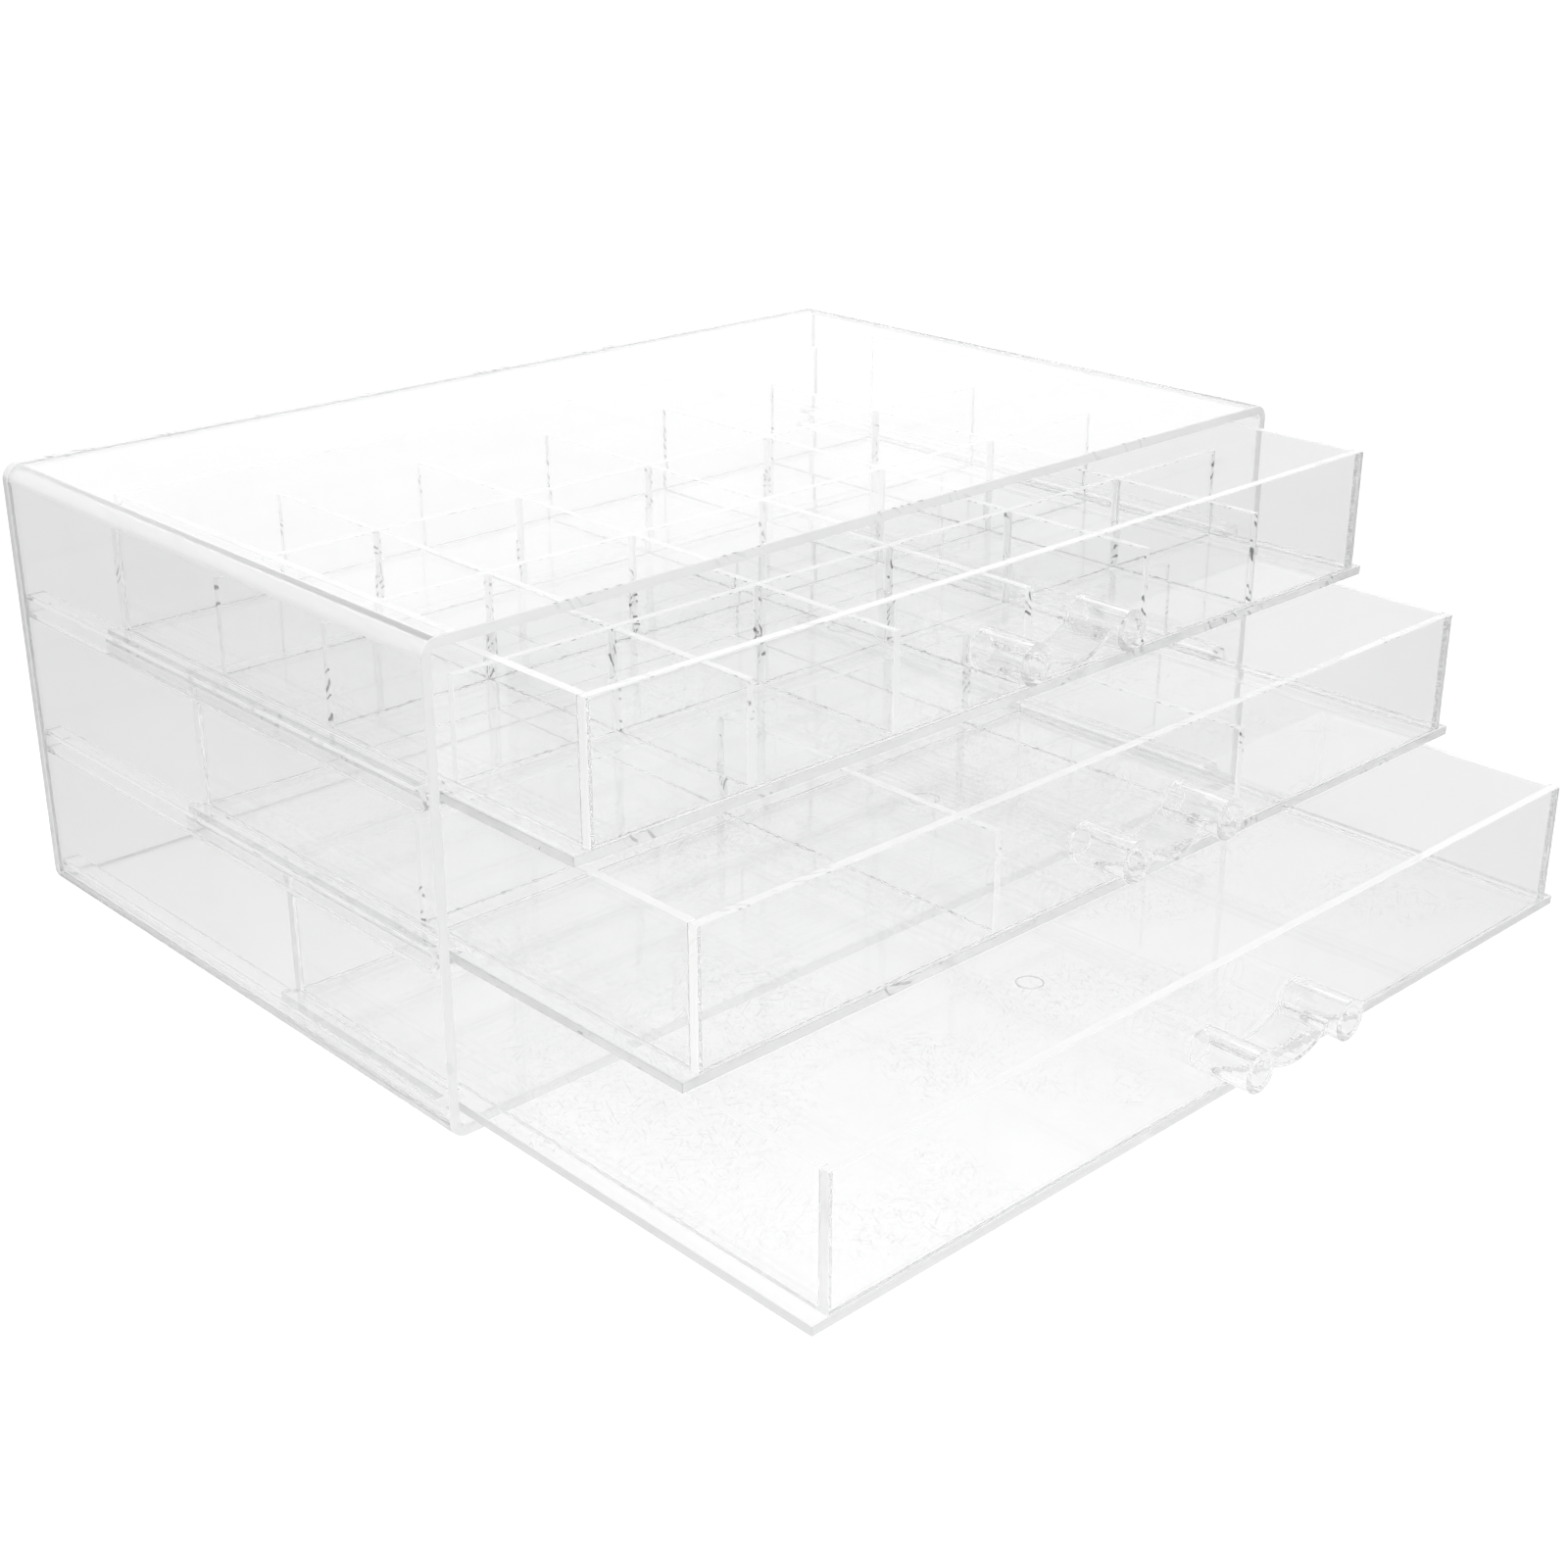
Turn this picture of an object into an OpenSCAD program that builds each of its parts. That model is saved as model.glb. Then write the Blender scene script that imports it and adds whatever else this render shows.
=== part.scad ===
// Clear acrylic organizer: an open-fronted case with a stack of drawers that slide on side rails.
// +X runs to the right along the drawer fronts, the drawers pull out towards -Y, and +Z is up.
// The origin is the centre of the case's footprint, on the underside of the case.
// Drawers are counted from the bottom: 0 is the bottom drawer, 1 the middle one, 2 the top one.
// Every drawer stands where it is left, pulled out by its own value in the section Drawers pulled out.

/* [Case] */
// Width of the case over its side panels
case_w = 235; // [200:1:300]
// Depth of the case from its open front to the back of its back panel
case_d = 150; // [130:1:200]
// Thickness of the case's top, bottom and side panels
case_wall = 2.2; // [1.8:0.1:2.8]
// Outer radius of the case's four long edges
case_edge_r = 3.5; // [3.2:0.1:5]
// Thickness of the back panel
case_back_t = 2.2; // [1.6:0.1:4]

/* [Rails] */
// Thickness of the strip that holds a rail to the side panel
rail_web_t = 0.9; // [0.6:0.1:1.5]
// Thickness of a rail's shelf and of the keeper lip above it
rail_lip_t = 1.1; // [0.8:0.1:1.6]
// How far the shelf reaches in under a drawer's flange
rail_shelf_grip = 2.5; // [1.5:0.1:3]
// How far the keeper lip reaches in over a drawer's flange
rail_keeper_grip = 1.1; // [0.6:0.1:2]
// Play of a drawer's flange under the keeper lip
rail_play = 0.6; // [0.3:0.1:1]
// Play between a drawer's flange and the rail on each side
side_play = 2.2; // [0.5:0.1:3]
// Distance from the case's front edge to the rounded nose of a rail
rail_setback = 3.5; // [2:0.5:20]
// Radius of the rail's nose
rail_nose_r = 2.4; // [1:0.1:4]

/* [Drawers] */
// Height of a drawer from the underside of its floor to the top of its walls
drawer_h = 28.9; // [24:0.1:45]
// Length of a drawer from its front face to its rear face
drawer_d = 151; // [130:1:200]
// Thickness of a drawer's floor plate
floor_t = 2.1; // [1.6:0.1:3]
// Thickness of a drawer's front, back and side panels
panel_t = 2; // [1.4:0.1:3]
// How far the floor plate stands out past each side panel, as the flange that runs in the rail
flange_w = 3.4; // [2.6:0.1:6]
// Gap between the top of a drawer and the floor plate above it
bay_gap = 2.1; // [1.6:0.1:6]
// Gap between the top drawer and the case's top panel
top_gap = 1; // [0.4:0.1:6]
// Gap between a closed drawer and the back panel
closed_gap = 0.5; // [0.3:0.1:3]
// Diameter of the moulding mark under each floor plate
gate_mark_d = 5.5; // [3:0.5:10]
// Depth of the moulding mark
gate_mark_depth = 0.4; // [0.2:0.1:0.8]
// Distance of the moulding mark behind the drawer's front face
gate_mark_y = 52.5; // [20:0.5:100]

/* [Drawers pulled out] */
// How far the bottom drawer stands out from closed
bottom_pulled = 84.5; // [0:0.1:120]
// How far the middle drawer stands out from closed
middle_pulled = 54.5; // [0:0.1:120]
// How far the top drawer stands out from closed
top_pulled = 28.5; // [0:0.1:120]

/* [Dividers] */
// Thickness of a divider
divider_t = 1.6; // [1:0.1:2.4]
// Height of a divider above the floor plate
divider_h = 20.1; // [12:0.1:21]
// Gap between a divider's end and the drawer wall
divider_end_gap = 0.2; // [0.1:0.1:0.8]
// Clearance in the half-lap slots where two dividers cross
lap_clear = 0.15; // [0.1:0.05:0.4]
// Compartments from left to right in the top drawer
top_columns = 6; // [2:1:8]
// Compartments from front to back in the top drawer
top_rows = 4; // [2:1:5]
// Compartments from left to right in the middle drawer
middle_columns = 3; // [2:1:6]
// Compartments from front to back in the middle drawer
middle_rows = 2; // [2:1:4]

/* [Handles] */
// Distance between the centres of a handle's two tubes
handle_pitch = 27.7; // [22:0.1:40]
// Outer diameter of a handle tube
tube_d = 8.4; // [6:0.1:12]
// Wall thickness of a handle tube
tube_wall = 1.5; // [1:0.1:2]
// How far a handle tube stands out from the drawer front
tube_reach = 13; // [8:0.5:25]
// Height of the tubes' centres above the underside of the drawer
handle_z = 13.8; // [9:0.1:20]
// Thickness of the curved web between the tubes
web_t = 1; // [0.6:0.1:2]
// How far the web dips below the tubes' centres
web_sag = 3.8; // [2:0.1:5.5]
// How far the web's edge stays back from the tubes' open ends
web_setback = 2; // [0.5:0.5:6]

/* [Hidden] */
$fn = 64;
cut = 1; // extra length of a cutting shape past the face it cuts

LEVELS = ["bottom", "middle", "top"];
SIDES = ["left", "right"];
pulled = [bottom_pulled, middle_pulled, top_pulled];
columns = [1, middle_columns, top_columns];
rows = [1, middle_rows, top_rows];
drawers = len(LEVELS);

case_h = 2 * case_wall + drawers * drawer_h + (drawers - 1) * bay_gap + top_gap;
case_front_y = -case_d / 2;
back_panel_y = case_d / 2 - case_back_t;
inner_x = case_w / 2 - case_wall;
inner_edge_r = case_edge_r - case_wall;

floor_w = 2 * (inner_x - rail_web_t - side_play);
box_w = floor_w - 2 * flange_w;
inner_w = box_w - 2 * panel_t;
inner_d = drawer_d - 2 * panel_t;
panel_h = drawer_h - floor_t;
slot_h = floor_t + rail_play;
tube_bore_d = tube_d - 2 * tube_wall;

function side_sign(side) = side == "left" ? -1 : 1;
function floor_z(i) = case_wall + i * (drawer_h + bay_gap);
function panel_z(i) = floor_z(i) + floor_t;
function front_y(i) = back_panel_y - closed_gap - drawer_d - pulled[i];
// Centre of divider k of n - 1 that split a space of the given inner size into n equal compartments
function split_at(inner, n, k) = -inner / 2 - divider_t / 2 + k * (inner + divider_t) / n;

function panel_nodes(level) =
    [for (piece = ["floor", "front", "back", "left_side", "right_side", "handle"])
        str(level, "_drawer_", piece)];
function divider_nodes(i) = concat(
    [for (k = [1:1:columns[i] - 1]) str(LEVELS[i], "_column_divider_", k)],
    [for (k = [1:1:rows[i] - 1]) str(LEVELS[i], "_row_divider_", k)]);

case_colour = [0.90, 0.93, 0.95, 0.35];
rail_colour = [0.80, 0.86, 0.90, 0.6];
drawer_colour = [0.92, 0.95, 0.97, 0.4];
divider_colour = [0.84, 0.90, 0.94, 0.5];
handle_colour = [0.76, 0.84, 0.90, 0.7];

// ---- case ----

// Upright rectangle with round corners, standing on y = 0
module rounded_outline(w, h, r) {
    translate([-w / 2, r]) square([w, h - 2 * r]);
    translate([-w / 2 + r, 0]) square([w - 2 * r, h]);
    for (x = [-1, 1], y = [r, h - r])
        translate([x * (w / 2 - r), y]) circle(r);
}

// Extrudes an upright outline from y_back towards the front
module extrude_forward(y_back, length) {
    translate([0, y_back, 0]) rotate([90, 0, 0]) linear_extrude(length) children();
}

// Top, bottom and sides as one band with round long edges
module case_shell() {
    color(case_colour)
    extrude_forward(back_panel_y, back_panel_y - case_front_y)
    difference() {
        rounded_outline(case_w, case_h, case_edge_r);
        translate([0, case_wall])
            rounded_outline(case_w - 2 * case_wall, case_h - 2 * case_wall, inner_edge_r);
    }
}

// Flat plate bonded to the rear end of the band
module case_back() {
    color(case_colour)
    extrude_forward(case_d / 2, case_back_t)
        rounded_outline(case_w, case_h, case_edge_r);
}

// ---- rails ----

// Side view of a rail, front end at x = 0, with a round nose at the top and, if wanted, the bottom
module nose_outline(length, low, high, round_bottom) {
    r = min(rail_nose_r, (high - low) / (round_bottom ? 2 : 1));
    translate([r, low]) square([length - r, high - low]);
    translate([0, round_bottom ? low + r : low])
        square([r, high - low - (round_bottom ? 2 : 1) * r]);
    intersection() {
        union() {
            translate([r, high - r]) circle(r);
            if (round_bottom) translate([r, low + r]) circle(r);
        }
        translate([0, low]) square([2 * r, high - low]);
    }
}

// A rail on the right-hand side panel: a shelf below the flange and a keeper lip above it.
// In the bottom bay the case's own floor is the shelf.
module rail_right(i) {
    low = i == 0 ? case_wall + inner_edge_r : floor_z(i) - rail_lip_t;
    high = floor_z(i) + slot_h + rail_lip_t;
    length = back_panel_y - case_front_y - rail_setback;
    web_x = inner_x - rail_web_t;
    shelf_x = web_x - side_play - rail_shelf_grip;
    keeper_x = web_x - side_play - rail_keeper_grip;
    y = case_front_y + rail_setback;
    difference() {
        translate([shelf_x, y, 0]) rotate([90, 0, 90])
            linear_extrude(inner_x - shelf_x) nose_outline(length, low, high, i > 0);
        translate([shelf_x - cut, y - cut, floor_z(i)])
            cube([web_x - shelf_x + cut, length + 2 * cut, slot_h]);
        translate([shelf_x - cut, y - cut, floor_z(i) + slot_h / 2])
            cube([keeper_x - shelf_x + cut, length + 2 * cut, slot_h + rail_lip_t]);
    }
}

module rail(i, side) {
    color(rail_colour)
    if (side == "left") mirror([1, 0, 0]) rail_right(i);
    else rail_right(i);
}

// ---- drawers ----

// Floor plate, wider than the box so that its two long edges run in the rails
module drawer_floor(i) {
    color(drawer_colour)
    difference() {
        translate([-floor_w / 2, front_y(i), floor_z(i)]) cube([floor_w, drawer_d, floor_t]);
        translate([0, front_y(i) + gate_mark_y, floor_z(i) - cut])
            cylinder(d = gate_mark_d, h = gate_mark_depth + cut);
    }
}

// Full-width panel across the drawer, its front face at y
module cross_panel(i, y) {
    color(drawer_colour)
    translate([-box_w / 2, y, panel_z(i)]) cube([box_w, panel_t, panel_h]);
}

module drawer_front(i) {
    cross_panel(i, front_y(i));
}

module drawer_back(i) {
    cross_panel(i, front_y(i) + drawer_d - panel_t);
}

// Side panel between the front and the back panel
module drawer_side(i, side) {
    x = side_sign(side) * (box_w - panel_t) / 2;
    color(drawer_colour)
    translate([x - panel_t / 2, front_y(i) + panel_t, panel_z(i)]) cube([panel_t, inner_d, panel_h]);
}

// ---- dividers ----

// Divider k, which runs from front to back, slotted from above where the row dividers cross it
module column_divider(i, k) {
    x = split_at(inner_w, columns[i], k);
    y = front_y(i) + drawer_d / 2;
    length = inner_d - 2 * divider_end_gap;
    slot = divider_t + 2 * lap_clear;
    color(divider_colour)
    translate([x, y, panel_z(i)])
    difference() {
        translate([-divider_t / 2, -length / 2, 0]) cube([divider_t, length, divider_h]);
        for (r = [1:1:rows[i] - 1])
            translate([-divider_t / 2 - cut, split_at(inner_d, rows[i], r) - slot / 2,
                       divider_h / 2 - lap_clear])
                cube([divider_t + 2 * cut, slot, divider_h]);
    }
}

// Divider k, which runs from left to right, slotted from below where the column dividers cross it
module row_divider(i, k) {
    y = front_y(i) + drawer_d / 2 + split_at(inner_d, rows[i], k);
    length = inner_w - 2 * divider_end_gap;
    slot = divider_t + 2 * lap_clear;
    color(divider_colour)
    translate([0, y, panel_z(i)])
    difference() {
        translate([-length / 2, -divider_t / 2, 0]) cube([length, divider_t, divider_h]);
        for (c = [1:1:columns[i] - 1])
            translate([split_at(inner_w, columns[i], c) - slot / 2, -divider_t / 2 - cut,
                       lap_clear - divider_h / 2])
                cube([slot, divider_t + 2 * cut, divider_h]);
    }
}

// ---- handles ----

// Curved web in front view: an arc that dips between the tubes and ends inside their walls
module web_outline() {
    half_span = (handle_pitch - tube_d) / 2;
    arc_r = (half_span * half_span + web_sag * web_sag) / (2 * web_sag);
    half_w = handle_pitch / 2 - tube_bore_d / 2 - tube_wall / 2;
    intersection() {
        translate([0, arc_r - web_sag]) difference() {
            circle(arc_r + web_t / 2, $fn = 128);
            circle(arc_r - web_t / 2, $fn = 128);
        }
        translate([-half_w, -web_sag - web_t]) square([2 * half_w, web_sag + web_t + tube_d / 2]);
    }
}

// One moulding: two open tubes that stand out from the drawer front, joined by the web
module drawer_handle(i) {
    color(handle_colour)
    translate([0, front_y(i), floor_z(i) + handle_z]) rotate([90, 0, 0])
    difference() {
        union() {
            for (s = [-1, 1])
                translate([s * handle_pitch / 2, 0, 0]) cylinder(d = tube_d, h = tube_reach);
            linear_extrude(tube_reach - web_setback) web_outline();
        }
        for (s = [-1, 1])
            translate([s * handle_pitch / 2, 0, -cut])
                cylinder(d = tube_bore_d, h = tube_reach + 2 * cut);
    }
}

// ---- assembly ----

case_shell();
case_back();
for (i = [0:drawers - 1], side = SIDES) {
    rail(i, side);
    drawer_side(i, side);
}
for (i = [0:drawers - 1]) {
    drawer_floor(i);
    drawer_front(i);
    drawer_back(i);
    drawer_handle(i);
    for (k = [1:1:columns[i] - 1])
        column_divider(i, k);
    for (k = [1:1:rows[i] - 1])
        row_divider(i, k);
}
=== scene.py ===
"""Looks of a clear acrylic drawer organizer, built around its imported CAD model.

Each visible piece is a closed mesh of its own that stands for one CAD node. It keeps the node's place and
size, gets rounded edges, and stays a hair inside the node's faces, so that bonded sheets never share a face.
Every length is in metres and in the CAD's frame: +X runs right along the drawer fronts, the drawers pull out
towards -Y, and +Z is up.
"""

import logging
import math
from dataclasses import dataclass, replace
from enum import Enum, IntEnum
from typing import Any, Iterable, Union

import bmesh
import bpy
import numpy as np
from mathutils import Euler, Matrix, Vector


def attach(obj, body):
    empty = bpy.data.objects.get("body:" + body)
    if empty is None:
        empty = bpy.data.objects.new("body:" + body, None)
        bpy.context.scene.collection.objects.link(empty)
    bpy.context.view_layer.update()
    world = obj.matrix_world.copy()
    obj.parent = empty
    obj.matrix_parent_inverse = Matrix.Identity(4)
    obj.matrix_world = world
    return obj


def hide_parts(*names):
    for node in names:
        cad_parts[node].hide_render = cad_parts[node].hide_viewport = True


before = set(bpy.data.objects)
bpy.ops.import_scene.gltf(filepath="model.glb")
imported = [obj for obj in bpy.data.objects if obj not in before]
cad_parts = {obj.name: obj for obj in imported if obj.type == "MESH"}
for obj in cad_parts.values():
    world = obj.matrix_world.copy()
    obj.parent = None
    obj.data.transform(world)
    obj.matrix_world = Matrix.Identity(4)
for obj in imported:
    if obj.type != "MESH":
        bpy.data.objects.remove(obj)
LOG = logging.getLogger("organizer")

MM = 0.001

Triple = tuple[float, float, float]
Colour = Triple

BLACK: Colour = (0.0, 0.0, 0.0)
WHITE: Colour = (1.0, 1.0, 1.0)

# Places of a Mix node's colour sockets, which share their names with its sockets for other types.
MIX_FIRST, MIX_SECOND, MIX_RESULT = 6, 7, 2


class Level(Enum):
    """The three bays of the case, each with its drawer and its pair of rails."""

    BOTTOM = "bottom"
    MIDDLE = "middle"
    TOP = "top"

    @property
    def body(self) -> str:
        """The CAD body that the bay's drawer and its contents ride on."""
        return f"{self.value}_drawer"


class Side(Enum):
    """The left or right side, seen from the front."""

    LEFT = "left"
    RIGHT = "right"


class Slot(Enum):
    """The record's material slots."""

    CASE = "case_acrylic"
    RAIL = "rail_acrylic"
    DRAWER = "drawer_acrylic"
    DIVIDER = "divider_acrylic"
    HANDLE = "handle_acrylic"


class Face(IntEnum):
    """The kinds of face on a sheet, numbered as its materials are.

    A rim is a level edge that looks up, a foot is one that looks down, and an end is an upright edge.
    """

    BROAD = 0
    BEND = 1
    RIM = 2
    END = 3
    FOOT = 4


# ---- shader maths ----


class Wire:
    """A value on its way from one node to another, with Math nodes written as operators."""

    def __init__(self, maker: "NodeMaker", socket: bpy.types.NodeSocket) -> None:
        """Wraps an output socket.

        Args:
            maker: the tree that the socket is in.
            socket: the output socket.
        """
        self.maker = maker
        self.socket = socket

    def math(self, operation: str, *operands: "Operand") -> "Wire":
        """Adds a Math node.

        Args:
            operation: the node's operation.
            operands: its values or wires, in order.

        Returns:
            The node's result.
        """
        made = self.maker.node("ShaderNodeMath", {"operation": operation}, dict(enumerate(operands)))
        return Wire(self.maker, made.outputs[0])

    def __add__(self, other: "Operand") -> "Wire":
        """self + other"""
        return self.math("ADD", self, other)

    def __radd__(self, other: float) -> "Wire":
        """other + self"""
        return self.math("ADD", other, self)

    def __sub__(self, other: "Operand") -> "Wire":
        """self - other"""
        return self.math("SUBTRACT", self, other)

    def __rsub__(self, other: float) -> "Wire":
        """other - self"""
        return self.math("SUBTRACT", other, self)

    def __mul__(self, other: "Operand") -> "Wire":
        """self * other"""
        return self.math("MULTIPLY", self, other)

    def __rmul__(self, other: float) -> "Wire":
        """other * self"""
        return self.math("MULTIPLY", other, self)

    def __abs__(self) -> "Wire":
        """The size of self, without its sign"""
        return self.math("ABSOLUTE", self)

    def sine(self) -> "Wire":
        """The sine of self"""
        return self.math("SINE", self)

    def at_most(self, other: "Operand") -> "Wire":
        """The smaller of self and other"""
        return self.math("MINIMUM", self, other)

    def at_least(self, other: "Operand") -> "Wire":
        """The larger of self and other"""
        return self.math("MAXIMUM", self, other)

    def ramp(self, start: float, end: float, low: float = 0.0, high: float = 1.0) -> "Wire":
        """Goes smoothly from low to high while self goes from start to end.

        Args:
            start: value of self where the ramp starts.
            end: value of self where the ramp ends.
            low: result at the start.
            high: result at the end.

        Returns:
            The ramp's value.
        """
        made = self.maker.node(
            "ShaderNodeMapRange", {"interpolation_type": "SMOOTHSTEP"},
            {"Value": self, "From Min": start, "From Max": end, "To Min": low, "To Max": high})
        return Wire(self.maker, made.outputs["Result"])


Operand = Union[Wire, float]


class NodeMaker:
    """Builds the node tree of one material or world from nothing."""

    def __init__(self, tree: bpy.types.NodeTree) -> None:
        """Empties the tree.

        Args:
            tree: the node tree to build.
        """
        self.tree = tree
        tree.nodes.clear()

    def node(self, kind: str, settings: dict[str, Any] | None = None,
             inputs: dict[int | str, Any] | None = None) -> bpy.types.Node:
        """Adds one node.

        Args:
            kind: the node's type.
            settings: its own settings, set first.
            inputs: a value or a wire for each socket, by name or place.

        Returns:
            The new node.
        """
        made = self.tree.nodes.new(kind)
        for name, value in (settings or {}).items():
            setattr(made, name, value)
        for key, value in (inputs or {}).items():
            socket = made.inputs[key]
            if isinstance(value, Wire):
                self.tree.links.new(value.socket, socket)
            else:
                socket.default_value = value
        return made

    def wire(self, kind: str, output: int | str, settings: dict[str, Any] | None = None,
             inputs: dict[int | str, Any] | None = None) -> Wire:
        """Adds one node and takes one of its outputs.

        Args:
            kind: the node's type.
            output: the name or place of the output socket.
            settings: the node's own settings.
            inputs: a value or a wire for each socket.

        Returns:
            The wire that leaves the output.
        """
        return Wire(self, self.node(kind, settings, inputs).outputs[output])

    def parts(self, vector: Wire) -> tuple[Wire, Wire, Wire]:
        """The x, y and z of a vector"""
        split = self.node("ShaderNodeSeparateXYZ", inputs={"Vector": vector})
        return tuple(Wire(self, split.outputs[axis]) for axis in "XYZ")

    def scaled(self, vector: Wire, factors: Triple) -> Wire:
        """A vector with each of its parts multiplied by its own factor"""
        return self.wire("ShaderNodeVectorMath", "Vector", {"operation": "MULTIPLY"},
                         {0: vector, 1: factors})

    def moved(self, vector: Wire, step: Wire) -> Wire:
        """A vector moved by another vector"""
        return self.wire("ShaderNodeVectorMath", "Vector", {"operation": "ADD"}, {0: vector, 1: step})

    def turned(self, vector: Wire, angle: float) -> Wire:
        """A vector turned about the z axis by an angle in radians"""
        return self.wire("ShaderNodeVectorRotate", "Vector", {"rotation_type": "Z_AXIS"},
                         {"Vector": vector, "Angle": angle})

    def noise(self, vector: Wire, scale: float, detail: float = 2.0) -> Wire:
        """Smooth noise from 0 to 1.

        Args:
            vector: the place where the noise is read.
            scale: cells per unit of the vector.
            detail: number of finer octaves.

        Returns:
            The noise's value.
        """
        return self.wire("ShaderNodeTexNoise", "Fac", inputs={"Vector": vector, "Scale": scale,
                                                              "Detail": detail})

    def blend(self, factor: Operand, first: Wire | Colour, second: Wire | Colour) -> Wire:
        """A colour between two colours.

        Args:
            factor: 0 for the first colour, 1 for the second.
            first: a colour or a wire.
            second: a colour or a wire.

        Returns:
            The mixed colour.
        """
        made = self.node("ShaderNodeMix", {"data_type": "RGBA"}, {"Factor": factor})
        for place, value in ((MIX_FIRST, first), (MIX_SECOND, second)):
            socket = made.inputs[place]
            if isinstance(value, Wire):
                self.tree.links.new(value.socket, socket)
            else:
                socket.default_value = (*value, 1.0)
        return Wire(self, made.outputs[MIX_RESULT])

    def surface(self, shader: bpy.types.Node, output: str = "ShaderNodeOutputMaterial") -> None:
        """Gives the tree an output of the given type, with a surface shader"""
        self.node(output, inputs={"Surface": Wire(self, shader.outputs[0])})


def new_material(name: str) -> tuple[bpy.types.Material, NodeMaker]:
    """Adds a material.

    Args:
        name: name of the material.

    Returns:
        The material, and the maker of its empty tree.
    """
    made = bpy.data.materials.new(name)
    made.use_nodes = True
    return made, NodeMaker(made.node_tree)


# ---- finishes ----


@dataclass(frozen=True)
class Hairlines:
    """Fine rub marks, as thin bent lines in a few directions, in patches."""

    headings: tuple[float, ...] = (0.35, 1.1, 2.2)
    width: float = 0.28 * MM
    length: float = 7 * MM
    bend: float = 4 * MM
    bend_size: float = 12 * MM
    patch_size: float = 35 * MM
    patch_start: float = 0.4
    patch_end: float = 0.6
    cover: float = 0.34
    softness: float = 0.06
    darkening: float = 0.2
    roughness: float = 0.1

    def mask(self, maker: NodeMaker, place: Wire) -> Wire:
        """Draws the marks.

        Args:
            maker: the tree to draw them in.
            place: the place on the piece, in metres.

        Returns:
            1 on a mark and 0 beside it.
        """
        total: Wire | None = None
        patches = maker.noise(place, 1 / self.patch_size, 1.0)
        drift = maker.wire("ShaderNodeTexNoise", "Color", inputs={
            "Vector": place, "Scale": 1 / self.bend_size, "Detail": 0.0})
        bent = maker.moved(place, maker.scaled(drift, (self.bend,) * 3))
        grain = (1 / self.width, 1 / self.length, 1 / self.width)
        for heading in self.headings:
            along = maker.scaled(maker.turned(bent, heading), grain)
            streaks = maker.noise(along, 1.0, 1.0)
            line = streaks.ramp(1 - self.cover, 1 - self.cover + self.softness)
            total = line if total is None else total.at_least(line)
        return total * patches.ramp(self.patch_start, self.patch_end)


@dataclass(frozen=True)
class Acrylic:
    """Clear acrylic: its tint, with painted shade that makes walls darker than level sheets, its faint clouds
    and waves, and its marks.
    """

    name: str
    # Upright faces take the wall tint, which is darker than the level tint as painted shade.
    wall_tint_and_painted_shade: Colour = (0.993, 0.994, 0.994)
    level_tint: Colour = (0.995, 0.996, 0.996)
    ior: float = 1.49
    roughness: float = 0.004
    dull_roughness: float = 0.008
    dull_end: float = 0.8
    frost: float = 0.0
    cloud: float = 0.012
    cloud_size: float = 30 * MM
    cloud_start: float = 0.3
    cloud_end: float = 0.7
    wave_size: float = 22 * MM
    wave_height: float = 0.012 * MM
    ridge_width: float = 0.9 * MM
    ridge_length: float = 40 * MM
    ridge_height: float = 0.0
    marks: Hairlines | None = None

    def material(self) -> bpy.types.Material:
        """Builds the finish.

        Returns:
            The new material.
        """
        made, maker = new_material(self.name)
        place = maker.wire("ShaderNodeTexCoord", "Object")
        normal = maker.wire("ShaderNodeNewGeometry", "Normal")
        painted_wall_shade_mask = 1 - abs(maker.parts(normal)[2])
        patches = maker.noise(place, 1 / self.cloud_size)
        cloud = patches.ramp(self.cloud_start, self.cloud_end, 0.0, self.cloud)
        # Painted shade: the more upright a face is, the more of the darker wall tint it takes.
        colour = maker.blend(painted_wall_shade_mask, self.level_tint, self.wall_tint_and_painted_shade)
        roughness = patches.ramp(self.cloud_start, self.dull_end, self.roughness, self.dull_roughness)
        if self.marks:
            mark = self.marks.mask(maker, place)
            cloud = cloud + mark * self.marks.darkening
            roughness = roughness + mark * self.marks.roughness
        colour = maker.blend(cloud, colour, BLACK)
        waves = maker.noise(place, 1 / self.wave_size, 0.0) * self.wave_height
        if self.ridge_height:
            drawn = maker.scaled(place, (1 / self.ridge_width, 1 / self.ridge_length, 1 / self.ridge_width))
            waves = waves + maker.noise(drawn, 1.0, 1.0) * self.ridge_height
        bumps = maker.wire("ShaderNodeBump", "Normal", inputs={"Distance": 1.0, "Height": waves})
        shader = maker.node("ShaderNodeBsdfPrincipled", inputs={
            "Base Color": colour, "Roughness": roughness, "IOR": self.ior,
            "Transmission Weight": 1 - self.frost, "Normal": bumps})
        maker.surface(shader)
        return made


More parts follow.
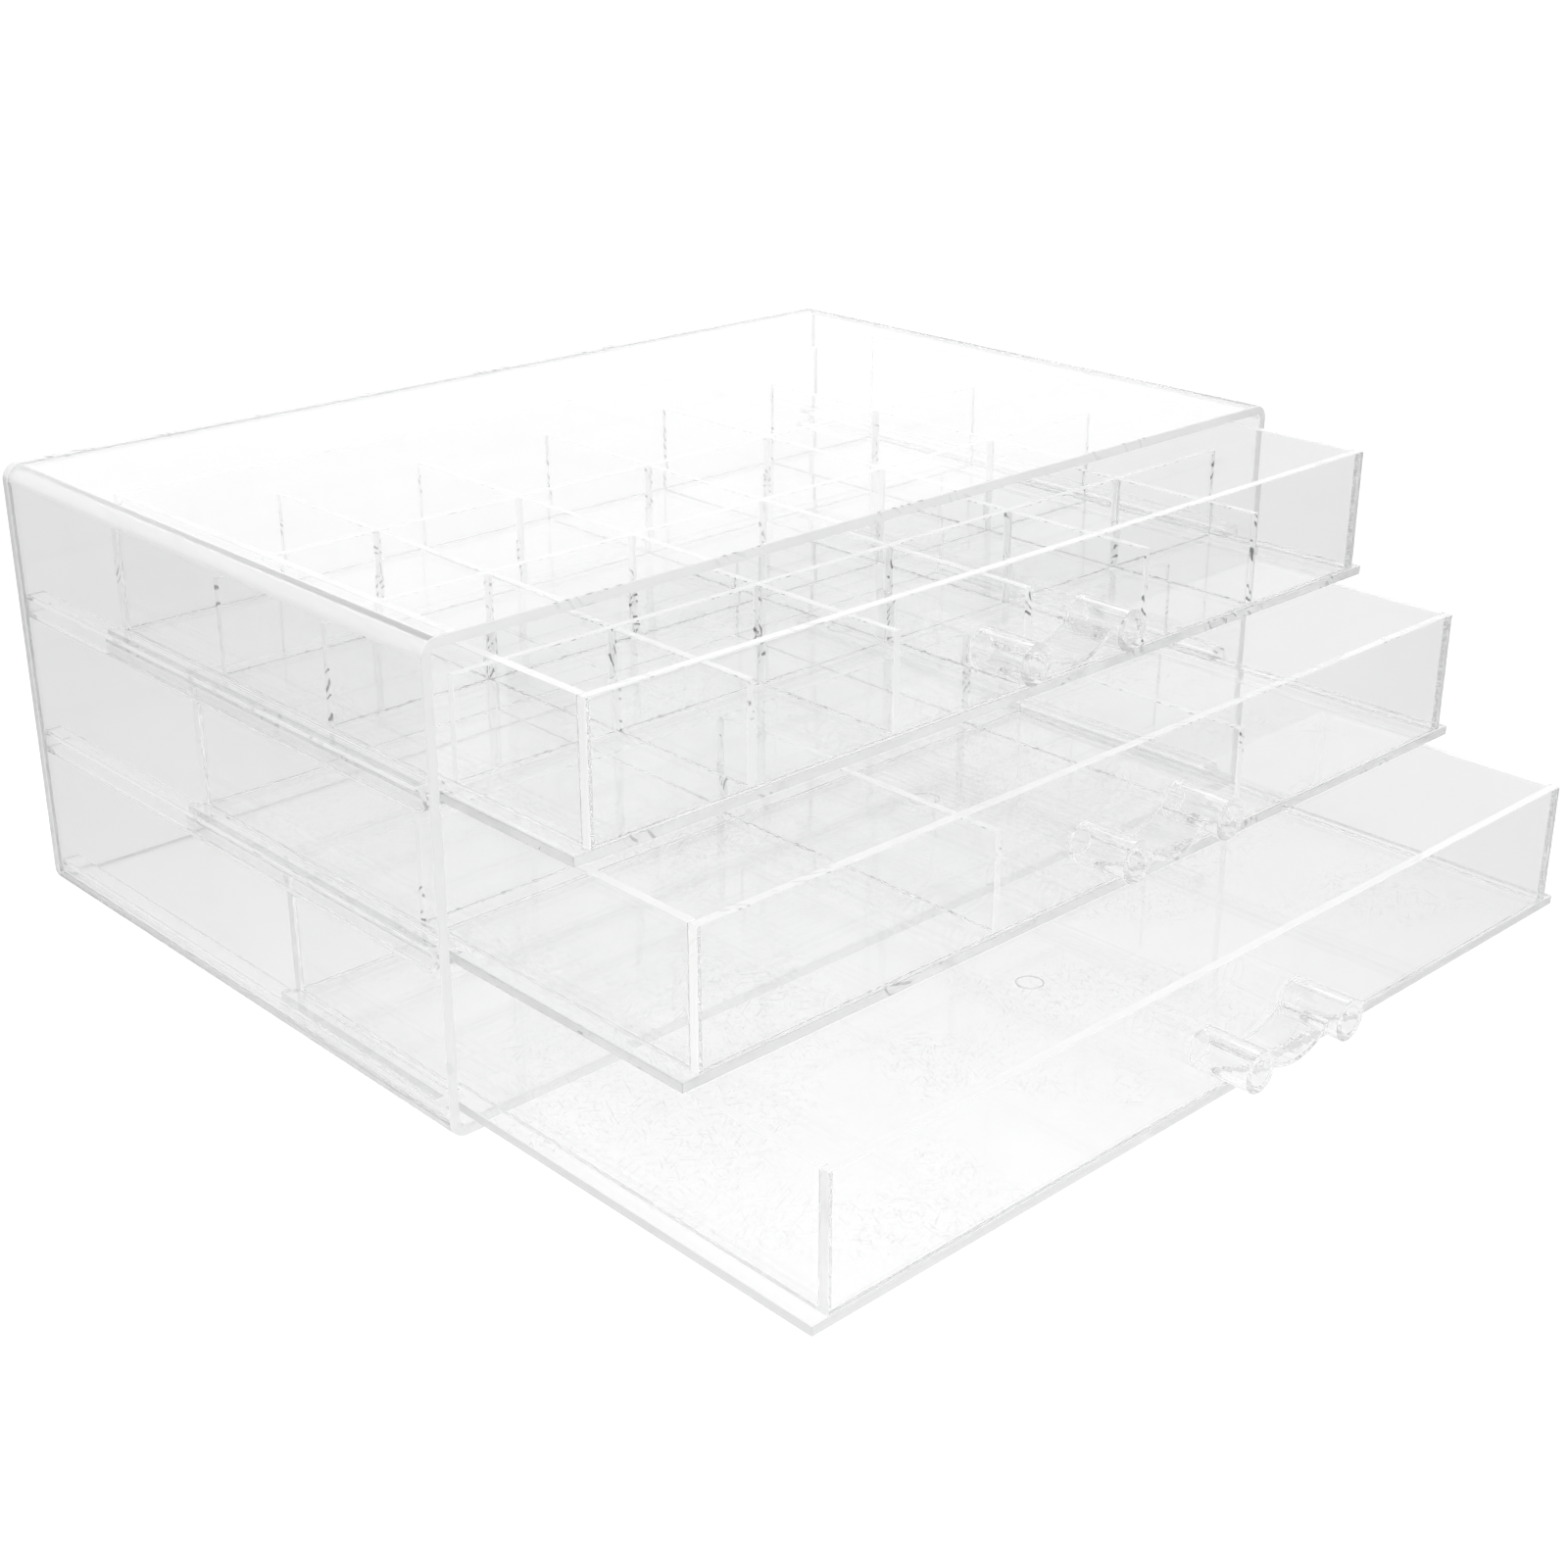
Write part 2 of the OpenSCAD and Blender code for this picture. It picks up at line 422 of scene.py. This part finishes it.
@dataclass(frozen=True)
class CutEdge:
    """A cut edge, which scatters part of the light that meets it.

    Along some stretches of a sawn edge the saw's slanting teeth show, as a row of bright and dark beads: the
    teeth are bumps, and their dark beads are painted shade in the colour. An edge that isn't sawn is only
    darker here and there.
    """

    name: str
    bright: Colour = (0.992, 0.994, 0.994)
    dark: Colour = (0.5, 0.51, 0.51)
    frost: float = 0.6
    ior: float = 1.49
    roughness: float = 0.05
    tooth_pitch: float = 2.8 * MM
    tooth_depth: float = 0.03 * MM
    tooth_wander: float = 16.0
    tooth_start: float = 0.42
    tooth_end: float = 0.6
    stretch: float = 14 * MM
    stretch_start: float = 0.5
    stretch_end: float = 0.62
    shade_start: float = 0.6
    shade_end: float = 0.8
    sawn: bool = True

    def material(self) -> bpy.types.Material:
        """Builds the finish.

        Returns:
            The new material.
        """
        made, maker = new_material(self.name)
        place = maker.wire("ShaderNodeTexCoord", "Object")
        waves = maker.noise(place, 1 / self.stretch, 1.0)
        if self.sawn:
            rows = self._teeth(maker, place, waves)
        else:
            rows = waves.ramp(self.shade_start, self.shade_end)
        # The dark beads along the saw's rows are painted shade of the teeth, which the bump below also draws.
        colour = maker.blend(rows.ramp(0.0, 1.0), self.bright, self.dark)
        bumps = maker.wire("ShaderNodeBump", "Normal", inputs={
            "Distance": 1.0, "Height": rows * (self.tooth_depth / 2)})
        shader = maker.node("ShaderNodeBsdfPrincipled", inputs={
            "Base Color": colour, "Roughness": self.roughness, "IOR": self.ior,
            "Transmission Weight": 1 - self.frost, "Normal": bumps})
        maker.surface(shader)
        return made

    def _teeth(self, maker: NodeMaker, place: Wire, waves: Wire) -> Wire:
        """Draws the saw's marks.

        Args:
            maker: the tree to draw them in.
            place: the place on the piece, in metres.
            waves: slow noise that chooses the stretches where they show.

        Returns:
            A wave across each row of marks, and 0 beside the rows.
        """
        x, y, z = maker.parts(place)
        travel = (x + y + z) * (2 * math.pi / self.tooth_pitch)
        wander = maker.noise(place, 1 / (2 * self.tooth_pitch), 0.0) * self.tooth_wander
        kept = maker.noise(place, 1 / self.tooth_pitch, 0.0).ramp(self.tooth_start, self.tooth_end)
        return (travel + wander).sine() * kept * waves.ramp(self.stretch_start, self.stretch_end)


Finish = Union[Acrylic, CutEdge]


@dataclass(frozen=True)
class SheetFinish:
    """The finishes of one kind of sheet, one for each kind of face."""

    broad: Finish
    bend: Finish
    rim: Finish
    end: Finish
    foot: Finish

    def in_order(self) -> tuple[Finish, ...]:
        """The finishes in the order of the kinds of face"""
        return self.broad, self.bend, self.rim, self.end, self.foot


# ---- meshes ----


@dataclass(frozen=True)
class EdgeWork:
    """How far a piece stays inside its CAD node, how its edges are rounded, and how its faces are told apart.

    The shares are parts of a face's normal along one axis, from 0 to 1.
    """

    gap: float = 0.02 * MM
    radius: float = 0.2 * MM
    segments: int = 3
    roundness: float = 0.5
    flat_angle: float = math.radians(0.2)
    sharp_angle: float = math.radians(30)
    crease: float = math.radians(50)
    merge: float = 0.001 * MM
    solver_limit: float = 1e-3
    flat_share: float = 0.999
    edge_share: float = 0.05
    level_share: float = 0.3


class SheetPiece:
    """One closed mesh that stands for a CAD node."""

    def __init__(self, node: str, work: EdgeWork) -> None:
        """Copies the node's faces.

        Args:
            node: name of the CAD node.
            work: how its edges are worked.
        """
        self.work = work
        self.mesh = bmesh.new()
        self.mesh.from_mesh(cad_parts[node].data)
        bmesh.ops.remove_doubles(self.mesh, verts=self.mesh.verts, dist=work.merge)
        bmesh.ops.dissolve_limit(self.mesh, angle_limit=work.flat_angle, verts=self.mesh.verts,
                                 edges=self.mesh.edges)
        self._shrink()
        self._round_edges()

    def _shrink(self) -> None:
        """Moves every face inwards by the gap."""
        self.mesh.normal_update()
        moves = []
        for vert in self.mesh.verts:
            normals = np.array([face.normal for face in vert.link_faces])
            target = np.full(len(normals), -self.work.gap)
            moves.append(np.linalg.lstsq(normals, target, rcond=self.work.solver_limit)[0])
        for vert, move in zip(self.mesh.verts, moves):
            vert.co += Vector(move)

    def _round_edges(self) -> None:
        """Rounds every sharp edge."""
        sharp = [edge for edge in self.mesh.edges
                 if edge.is_manifold and edge.calc_face_angle() > self.work.sharp_angle]
        bmesh.ops.bevel(self.mesh, geom=sharp, offset=self.work.radius, segments=self.work.segments,
                        profile=self.work.roundness, affect="EDGES", clamp_overlap=True)
        bmesh.ops.dissolve_degenerate(self.mesh, dist=self.work.merge, edges=self.mesh.edges)

    def _kind(self, normal: Vector, broad_axes: str) -> Face:
        """Which kind of face a face is.

        Args:
            normal: the face's normal.
            broad_axes: the axes that the piece's broad faces look along, such as "xz".

        Returns:
            Its kind, where a bend is a face that turns from one broad face to another.
        """
        parts = dict(zip("xyz", (abs(part) for part in normal)))
        if all(part < self.work.edge_share for axis, part in parts.items() if axis not in broad_axes):
            return Face.BROAD if max(parts.values()) > self.work.flat_share else Face.BEND
        if parts["z"] < self.work.level_share:
            return Face.END
        return Face.RIM if normal.z > 0 else Face.FOOT

    def finish(self, name: str, materials: list[bpy.types.Material], broad_axes: str) -> bpy.types.Object:
        """Turns the mesh into an object.

        Args:
            name: name of the piece.
            materials: those of each kind of face, in order.
            broad_axes: the axes that the piece's broad faces look along, such as "xz".

        Returns:
            The new object, linked to the scene.
        """
        self.mesh.normal_update()
        for face in self.mesh.faces:
            face.smooth = True
            face.material_index = self._kind(face.normal, broad_axes)
        data = bpy.data.meshes.new(name)
        self.mesh.to_mesh(data)
        self.mesh.free()
        data.set_sharp_from_angle(angle=self.work.crease)
        for material in materials:
            data.materials.append(material)
        made = bpy.data.objects.new(name, data)
        bpy.context.scene.collection.objects.link(made)
        weighted = made.modifiers.new("Even shading", "WEIGHTED_NORMAL")
        weighted.keep_sharp = True
        return made


# ---- sub-assemblies ----


class Workshop:
    """Makes the pieces, and keeps each finish once."""

    def __init__(self) -> None:
        """Starts with no materials."""
        self.finishes: dict[str, bpy.types.Material] = {}
        self.made: list[bpy.types.Object] = []

    def material(self, finish: Finish) -> bpy.types.Material:
        """Finds a finish's material, and builds it the first time.

        Args:
            finish: the finish.

        Returns:
            Its material.
        """
        if finish.name not in self.finishes:
            self.finishes[finish.name] = finish.material()
        return self.finishes[finish.name]

    def piece(self, node: str, body: str, sheet: SheetFinish, broad_axes: str,
              work: EdgeWork) -> None:
        """Makes the visible piece of a CAD node.

        Args:
            node: the CAD node that it stands for.
            body: the CAD body that it rides on.
            sheet: the finishes of its faces.
            broad_axes: the axes that its broad faces look along.
            work: how its edges are worked.
        """
        materials = [self.material(finish) for finish in sheet.in_order()]
        made = SheetPiece(node, work).finish(f"{node}_clear", materials, broad_axes)
        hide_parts(node)
        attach(made, body)
        self.made.append(made)
        LOG.info("%s stands for %s on %s: %d faces", made.name, node, body, len(made.data.polygons))


@dataclass(frozen=True)
class Case:
    """The open-fronted case with its back panel and rails."""

    body: str = "case"
    shell_edges: EdgeWork = EdgeWork(radius=0.3 * MM)
    rail_edges: EdgeWork = EdgeWork(radius=0.15 * MM, segments=2)
    sheet: SheetFinish = SheetFinish(
        # The case's walls take a darker tint as painted shade.
        broad=Acrylic("case_sheet", wall_tint_and_painted_shade=(0.985, 0.986, 0.986),
                      marks=Hairlines(cover=0.27, darkening=0.03)),
        bend=Acrylic("case_bend", frost=0.45),
        rim=CutEdge("case_rim", frost=0.8),
        # Painted shade: the case's upright ends are coloured darker than its rims.
        end=CutEdge("case_end", bright=(0.96, 0.963, 0.963), dark=(0.87, 0.88, 0.88), frost=0.75),
        foot=CutEdge("case_foot", frost=0.8))
    strip: SheetFinish = SheetFinish(
        broad=Acrylic("rail_strip"),
        bend=Acrylic("rail_bend", frost=0.6),
        rim=CutEdge("rail_rim", frost=0.8),
        end=CutEdge("rail_end", frost=0.8),
        foot=CutEdge("rail_foot", frost=0.8))

    def build(self, shop: Workshop) -> None:
        """Makes the shell, the back panel and the rails.

        Args:
            shop: the workshop that makes them.
        """
        shop.piece("case_shell", self.body, self.sheet, "xz", self.shell_edges)
        shop.piece("case_back", self.body, self.sheet, "y", self.shell_edges)
        for level in Level:
            for side in Side:
                shop.piece(f"{level.value}_rail_{side.value}", self.body, self.strip, "xz",
                           self.rail_edges)


@dataclass(frozen=True)
class Drawer:
    """One drawer: its floor plate, walls, handle and dividers.

    Edges that are bonded to another sheet have the joint's finish, which is almost clear. The rows and
    columns are those of its compartments.
    """

    level: Level
    columns: int
    rows: int
    sawn: bool = True
    edges: EdgeWork = EdgeWork()
    handle_edges: EdgeWork = EdgeWork(radius=0.25 * MM)
    sheet: SheetFinish = SheetFinish(
        broad=Acrylic("drawer_sheet"),
        bend=Acrylic("drawer_bend"),
        rim=CutEdge("drawer_rim", dark=(0.85, 0.86, 0.855), frost=0.7),
        # Painted shade: the drawer's upright ends are coloured darker than its rims.
        end=CutEdge("drawer_end", bright=(0.94, 0.945, 0.945), frost=0.3),
        foot=CutEdge("drawer_foot", frost=0.45, dark=(0.85, 0.86, 0.855)))
    # Painted shade: the smooth upright ends are coloured darker than the smooth rims.
    smooth_end: CutEdge = CutEdge("drawer_smooth_end", bright=(0.93, 0.935, 0.935),
                                  dark=(0.85, 0.86, 0.86), sawn=False)
    smooth_rim: CutEdge = CutEdge("drawer_smooth_rim", dark=(0.96, 0.965, 0.965), frost=0.9, sawn=False)
    rubbed: Acrylic = Acrylic("drawer_rubbed_floor", marks=Hairlines())
    # Painted shade: the walls' upright ends get dark beads.
    wall_end: CutEdge = CutEdge("drawer_wall_end", dark=(0.4, 0.41, 0.405), frost=0.95)
    joint: Acrylic = Acrylic("drawer_joint", frost=0.2)
    divider: SheetFinish = SheetFinish(
        broad=Acrylic("divider_sheet"),
        bend=Acrylic("divider_bend"),
        rim=CutEdge("divider_rim", dark=(0.85, 0.86, 0.855), frost=0.8),
        # Painted shade: the dividers' upright ends get near-black beads, against lighter rims.
        end=CutEdge("divider_end", dark=(0.1, 0.11, 0.105), frost=0.85, tooth_pitch=2.2 * MM,
                    stretch_start=0.42, stretch_end=0.52),
        foot=CutEdge("divider_foot", frost=0.4, dark=(0.5, 0.51, 0.505)))
    tube: SheetFinish = SheetFinish(
        broad=Acrylic("handle_face", frost=0.1),
        bend=Acrylic("handle_tube", ridge_height=0.06 * MM),
        rim=CutEdge("handle_rim"),
        end=CutEdge("handle_end"),
        foot=CutEdge("handle_foot"))

    def build(self, shop: Workshop) -> None:
        """Makes the drawer's pieces.

        Args:
            shop: the workshop that makes them.
        """
        bay, body = self.level.value, self.level.body
        outer = self.sheet
        if not self.sawn:
            outer = replace(outer, end=self.smooth_end, rim=self.smooth_rim)
        across = replace(outer, end=self.wall_end if self.sawn else self.smooth_end, foot=self.joint)
        along = replace(outer, end=self.joint)
        plate = replace(outer, broad=self.rubbed)
        for panel, axis, sheet in (("floor", "z", plate), ("front", "y", across), ("back", "y", across),
                                   ("left_side", "x", along), ("right_side", "x", along)):
            shop.piece(f"{body}_{panel}", body, sheet, axis, self.edges)
        # a moulding has no cut edges, so every face is a broad one or a bend
        shop.piece(f"{body}_handle", body, self.tube, "xyz", self.handle_edges)
        for run, count, axis in (("column", self.columns, "x"), ("row", self.rows, "y")):
            for number in range(1, count):
                shop.piece(f"{bay}_{run}_divider_{number}", body, self.divider, axis,
                           self.edges)


# ---- studio ----


@dataclass(frozen=True)
class Studio:
    """The white floor, the light of the room and the camera."""

    camera_place: Triple = (-0.320675, -0.376791, 0.225028)
    camera_heading: float = -0.758
    camera_pitch: float = -0.406
    camera_roll: float = -0.001
    camera_lens: float = 53.03
    sensor: float = 36.0
    floor_reach: float = 4.0
    floor_paint: float = 0.25
    floor_glow: float = 0.87
    pool_place: Triple = (-0.11, -0.18, 0.0)
    pool_start: float = 0.02
    pool_end: float = 0.24
    through_near: float = 1.04
    through_far: float = 0.88
    pool_reach: float = 0.42
    pool_mirrored: float = 1.25
    scattered_reach: float = 0.35
    scattered_far: float = 0.6
    sky_mirrored: float = 1.35
    room_mirrored: float = 0.1
    horizon_top: float = 0.45
    ceiling_start: float = 0.75
    ceiling: float = 0.45
    bounces: int = 100
    scatters: int = 12

    def build(self) -> None:
        """Makes the floor, the light and the camera."""
        self._floor()
        self._light()
        self._camera()
        scene = bpy.context.scene
        scene.view_settings.view_transform = "Standard"
        scene.cycles.blur_glossy = 0.0
        scene.cycles.max_bounces = self.bounces
        scene.cycles.diffuse_bounces = self.scatters
        scene.cycles.glossy_bounces = self.bounces
        scene.cycles.transmission_bounces = self.bounces

    def _floor(self) -> None:
        """A wide matt floor that shows white and keeps the object's shadow.

        Mirrored in the acrylic it is a pool of light that fades towards the sides of the room. Seen through
        the acrylic, and in the light that cut edges scatter, it gets greyer away from the pool.
        """
        data = bpy.data.meshes.new("studio_floor")
        reach = self.floor_reach
        corners = [(x * reach, y * reach, 0.0) for x, y in ((-1, -1), (1, -1), (1, 1), (-1, 1))]
        data.from_pydata(corners, [], [(0, 1, 2, 3)])
        paint, maker = new_material("studio_floor_paint")
        paint.cycles.emission_sampling = "NONE"
        place = maker.wire("ShaderNodeTexCoord", "Object")
        away = maker.wire("ShaderNodeVectorMath", "Value", {"operation": "DISTANCE"},
                          {0: place, 1: self.pool_place})
        pool = away.ramp(0.0, self.pool_reach, 1.0, 0.0)
        seen_through = away.ramp(self.pool_start, self.pool_end, self.through_near, self.through_far)
        through, mirrored, scattered = self._rays(maker)
        bright = self.room_mirrored + pool * (self.pool_mirrored - self.room_mirrored)
        plain = self.floor_paint + self.floor_glow
        change = through * (seen_through - plain) + mirrored * (bright - plain)
        dimmed = scattered * away.ramp(0.0, self.scattered_reach, 0.0, plain - self.scattered_far)
        level = self.floor_glow + (1 - scattered) * change - dimmed
        grey = (self.floor_paint, self.floor_paint, self.floor_paint, 1.0)
        matt = maker.wire("ShaderNodeBsdfDiffuse", "BSDF", inputs={"Color": grey})
        glow = maker.wire("ShaderNodeEmission", "Emission", inputs={"Strength": level})
        maker.surface(maker.node("ShaderNodeAddShader", inputs={0: matt, 1: glow}))
        data.materials.append(paint)
        floor = bpy.data.objects.new("studio_floor", data)
        bpy.context.scene.collection.objects.link(floor)

    def _light(self) -> None:
        """A white room whose ceiling is greyer, which is seen only in the acrylic."""
        world = bpy.data.worlds.new("studio_room")
        bpy.context.scene.world = world
        world.use_nodes = True
        world.cycles.sampling_method = "NONE"
        maker = NodeMaker(world.node_tree)
        height = maker.parts(maker.wire("ShaderNodeTexCoord", "Generated"))[2]
        through, mirrored, scattered = self._rays(maker)
        dimmed = through * height.ramp(self.horizon_top, self.ceiling_start, 0.0, 1 - self.ceiling)
        level = 1 + (1 - scattered) * (mirrored * (self.sky_mirrored - 1) - dimmed)
        shader = maker.node("ShaderNodeBackground", inputs={"Color": (*WHITE, 1.0), "Strength": level})
        maker.surface(shader, "ShaderNodeOutputWorld")

    @staticmethod
    def _rays(maker: NodeMaker) -> tuple[Wire, Wire, Wire]:
        """How a ray arrives.

        Args:
            maker: the tree to read it in.

        Returns:
            1 after a pass through acrylic, 1 after a mirroring, and 1 once matt surfaces have scattered it.
        """
        path = maker.node("ShaderNodeLightPath")
        through = Wire(maker, path.outputs["Is Transmission Ray"])
        mirrored = Wire(maker, path.outputs["Is Glossy Ray"]) * (1 - through)
        return through, mirrored, Wire(maker, path.outputs["Diffuse Depth"]).at_most(1.0)

    def _camera(self) -> None:
        """The camera at the photograph's place and angle."""
        lens = bpy.data.cameras.new("camera")
        lens.lens = self.camera_lens
        lens.sensor_width = self.sensor
        camera = bpy.data.objects.new("camera", lens)
        camera.location = self.camera_place
        camera.rotation_euler = Euler((math.pi / 2 + self.camera_pitch, self.camera_roll,
                                       self.camera_heading))
        bpy.context.scene.collection.objects.link(camera)
        bpy.context.scene.camera = camera


def main() -> None:
    """Builds the pieces around the CAD model, then the studio."""
    logging.basicConfig(level=logging.INFO, format="%(name)s: %(message)s")
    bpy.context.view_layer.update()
    shop = Workshop()
    Case().build(shop)
    for drawer in (Drawer(Level.BOTTOM, 1, 1, sawn=False), Drawer(Level.MIDDLE, 3, 2),
                   Drawer(Level.TOP, 6, 4)):
        drawer.build(shop)
    Studio().build()
    LOG.info("%d pieces in all", len(shop.made))


if __name__ == "__main__":
    main()
